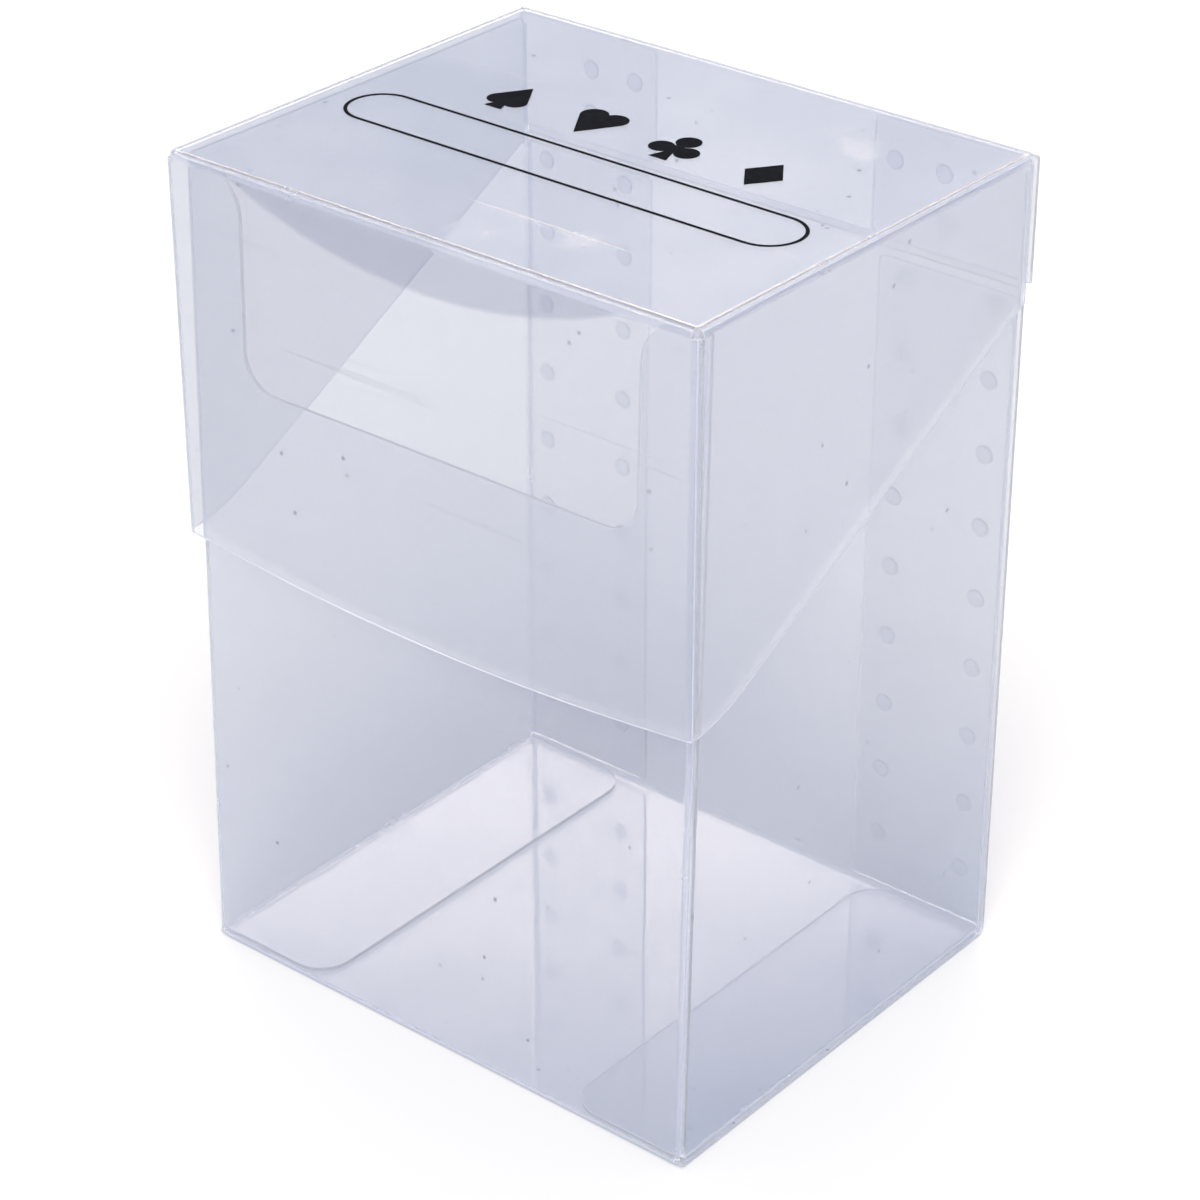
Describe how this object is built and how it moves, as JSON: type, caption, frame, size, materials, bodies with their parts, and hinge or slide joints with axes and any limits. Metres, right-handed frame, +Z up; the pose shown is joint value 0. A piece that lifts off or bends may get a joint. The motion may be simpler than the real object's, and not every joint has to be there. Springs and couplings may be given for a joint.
{
  "type": "card deck box",
  "caption": "Clear flip-top box for a deck of sleeved trading cards, folded and spot-welded from thin plastic sheet, with a deep lid hinged on a crease in the back.",
  "frame": {"origin": "middle of the underside of the bottom panel", "axes": "+Z up towards the lid's top, -Y out of the front panel, +X to the right seen from the front"},
  "size_m": [0.069, 0.056, 0.096],
  "materials": {
    "box_sheet": "clear polypropylene, faint lavender tint",
    "lid_sheet": "clear polypropylene, faint lavender tint",
    "weld": "clear melted button with a raised rim",
    "hinge_web": "clear, slightly whitened crease",
    "ink": "black pad-printed ink"
  },
  "bodies": {
    "box": {"front_panel": "box_sheet", "back_panel": "box_sheet", "left_side_panel": "box_sheet", "right_side_panel": "box_sheet", "bottom_panel": "box_sheet", "left_bottom_flap": "box_sheet", "right_bottom_flap": "box_sheet", "left_weld_flap": "box_sheet", "right_weld_flap": "box_sheet", "left_spot_welds": "weld", "right_spot_welds": "weld", "rear_hinge_web": "hinge_web"},
    "lid": {"lid_top_panel": "lid_sheet", "lid_front_flap": "lid_sheet", "lid_left_side": "lid_sheet", "lid_right_side": "lid_sheet", "lid_back_strip": "lid_sheet", "lid_left_tab": "lid_sheet", "lid_right_tab": "lid_sheet", "lid_left_tab_welds": "weld", "lid_right_tab_welds": "weld", "label_outline": "ink", "printed_suits": "ink"}
  },
  "joints": [
    {"name": "lid_hinge", "type": "hinge", "parent": "box", "child": "lid", "pos_m": [0, 0.028, 0.0812], "axis": [-1, 0, 0], "range_deg": [0, 170]}
  ]
}
